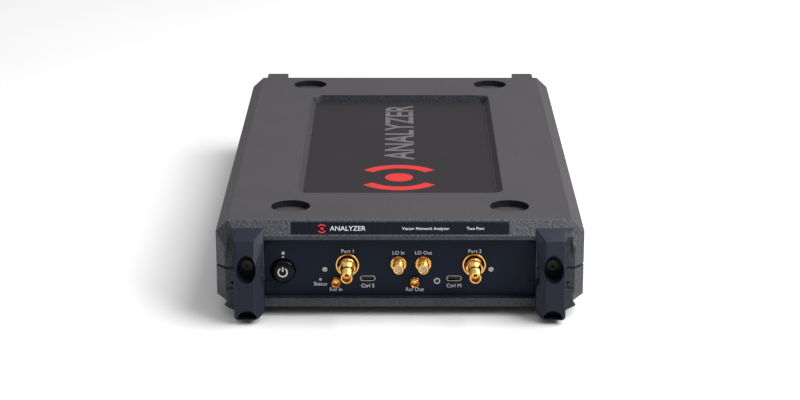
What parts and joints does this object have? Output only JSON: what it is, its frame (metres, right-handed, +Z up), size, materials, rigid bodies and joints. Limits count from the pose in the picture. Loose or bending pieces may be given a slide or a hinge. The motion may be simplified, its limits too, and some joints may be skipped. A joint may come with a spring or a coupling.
{
  "type": "vector network analyzer",
  "caption": "Compact two-port vector network analyzer: flat two-shell case with corner posts, label window, gold coaxial test ports, power button and rear fan",
  "frame": {"origin": "middle of the footprint on the table", "axes": "+Y from the connector panel to the rear, +Z up, +X to the right seen from the front"},
  "size_m": [0.216, 0.3778, 0.0577],
  "materials": {
    "cover_plastic": "fine moulded texture",
    "post_elastomer": "smooth satin elastomer",
    "foot_rubber": "matte",
    "label_sheet": "fine matte film",
    "label_strip": "smooth film",
    "panel_paint": "satin powder coat",
    "button_gloss": "polished black",
    "light_pipe": "frosted clear",
    "gold": "gold plated, polished",
    "insulator": "moulded fluoropolymer",
    "socket_steel": "nickel plated",
    "dark_insulator": "moulded",
    "fan_plastic": "glass filled, matte",
    "screw_steel": "zinc plated",
    "dark_steel": "black oxide",
    "tray_metal": "sheet, chromate",
    "board_green": "solder mask",
    "can_metal": "milled",
    "lead_metal": "tinned copper jacket"
  },
  "bodies": {
    "chassis": {"board_pillars": "screw_steel", "board_screws": "screw_steel", "bottom_cover": "cover_plastic", "chassis_tray": "tray_metal", "coax_leads": "lead_metal", "control_usb_1_shell": "socket_steel", "control_usb_2_shell": "socket_steel", "control_usb_tongues": "dark_insulator", "cover_screws": "screw_steel", "digitizer": "can_metal", "fan_frame": "fan_plastic", "fan_screws": "screw_steel", "feet": "foot_rubber", "front_label_strip": "label_strip", "front_panel": "panel_paint", "front_post_left": "post_elastomer", "front_post_right": "post_elastomer", "ground_stud": "screw_steel", "heat_sink": "can_metal", "host_usb_socket": "socket_steel", "light_pipes": "light_pipe", "lo_contacts": "gold", "lo_divider": "can_metal", "lo_in_connector": "gold", "lo_insulators": "insulator", "lo_nuts": "gold", "lo_out_connector": "gold", "main_board": "board_green", "panel_insert": "screw_steel", "panel_latches": "panel_paint", "panel_screws": "screw_steel", "port_1_body": "gold", "port_1_collar": "gold", "port_1_flange": "gold", "port_2_body": "gold", "port_2_collar": "gold", "port_2_flange": "gold", "port_beads": "insulator", "port_pins": "gold", "post_screws": "dark_steel", "power_converter": "can_metal", "power_inlet": "dark_insulator", "power_switch": "dark_insulator", "rear_panel": "panel_paint", "rear_post_left": "cover_plastic", "rear_post_right": "cover_plastic", "receiver_1": "can_metal", "receiver_2": "can_metal", "ref_contacts": "gold", "ref_in_connector": "gold", "ref_out_connector": "gold", "reference_oscillator": "can_metal", "source_module": "can_metal", "top_cover": "cover_plastic", "top_label_plate": "label_sheet", "trigger_jacks": "gold"},
    "power_button": {"power_button": "button_gloss"},
    "fan_rotor": {"fan_rotor": "fan_plastic"}
  },
  "joints": [
    {"name": "power_button_press", "type": "slide", "parent": "chassis", "child": "power_button", "axis": [0, 1, 0], "range_m": [0, 0.0015], "stiffness_N_per_m": 400},
    {"name": "fan_spin", "type": "hinge", "parent": "chassis", "child": "fan_rotor", "pos_m": [-0.045, 0.165, 0.0283], "axis": [0, 1, 0], "continuous": true}
  ]
}
